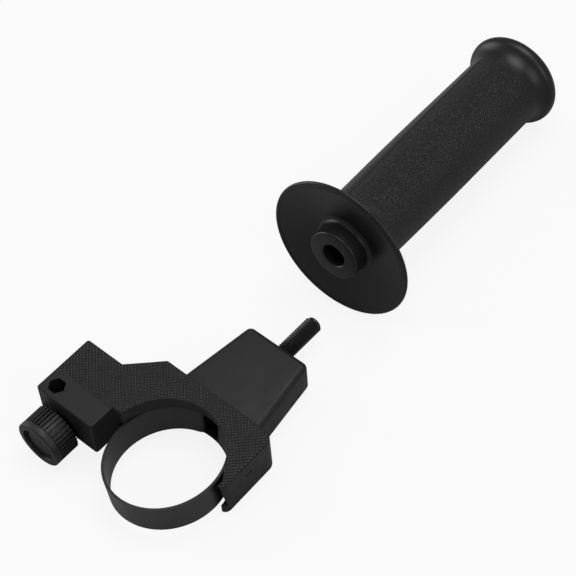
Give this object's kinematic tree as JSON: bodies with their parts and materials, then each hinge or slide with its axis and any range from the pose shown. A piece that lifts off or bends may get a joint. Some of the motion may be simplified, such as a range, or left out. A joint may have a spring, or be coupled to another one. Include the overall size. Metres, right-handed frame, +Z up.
{
  "type": "power tool side handle",
  "caption": "Side handle for a hammer drill, unscrewed from its strap clamp: moulded clamp body with stud and depth-rod lock knob, and a moulded grip with a dished flange.",
  "frame": {"origin": "where the clamp stud's axis crosses the axis of the strap loop, in the middle of the strap's width", "axes": "+Y along the stud towards the handle, +Z up along the strap loop's axis, +X towards the short leg, away from the depth-rod arm"},
  "size_m": [0.097, 0.2863, 0.0697],
  "materials": {
    "carrier_plastic": "black glass-filled nylon, fine cross-hatch on the front plate",
    "strap_steel": "black coated spring steel strip, satin",
    "bolt_steel": "black oxide",
    "insert_brass": "turned",
    "knob_plastic": "black moulded, satin",
    "grip_plastic": "black moulded, fine leather grain on the grip, semi-gloss ends"
  },
  "bodies": {
    "carrier": {"clamp_carrier": "carrier_plastic", "lock_insert": "insert_brass", "handle_grip": "grip_plastic", "handle_insert": "bolt_steel"},
    "strap": {"strap_band": "strap_steel", "clamp_bolt": "bolt_steel", "strap_pin": "bolt_steel"},
    "screw": {"lock_screw": "bolt_steel"},
    "knob": {"lock_knob": "knob_plastic"}
  },
  "joints": [
    {"name": "strap_pull", "type": "slide", "parent": "carrier", "child": "strap", "axis": [0, 1, 0], "range_m": [0, 0.0025]},
    {"name": "knob_travel", "type": "slide", "parent": "carrier", "child": "screw", "axis": [0, 1, 0], "range_m": [-0.003, 0.00025]},
    {"name": "knob_turn", "type": "hinge", "parent": "screw", "child": "knob", "pos_m": [-0.05335, -0.018, -0.0002], "axis": [0, 1, 0], "range_deg": [-1080, 90]}
  ],
  "couplings": [
    {"joint": "knob_travel", "follows": "knob_turn", "m_per_rad": 0.00015915}
  ]
}
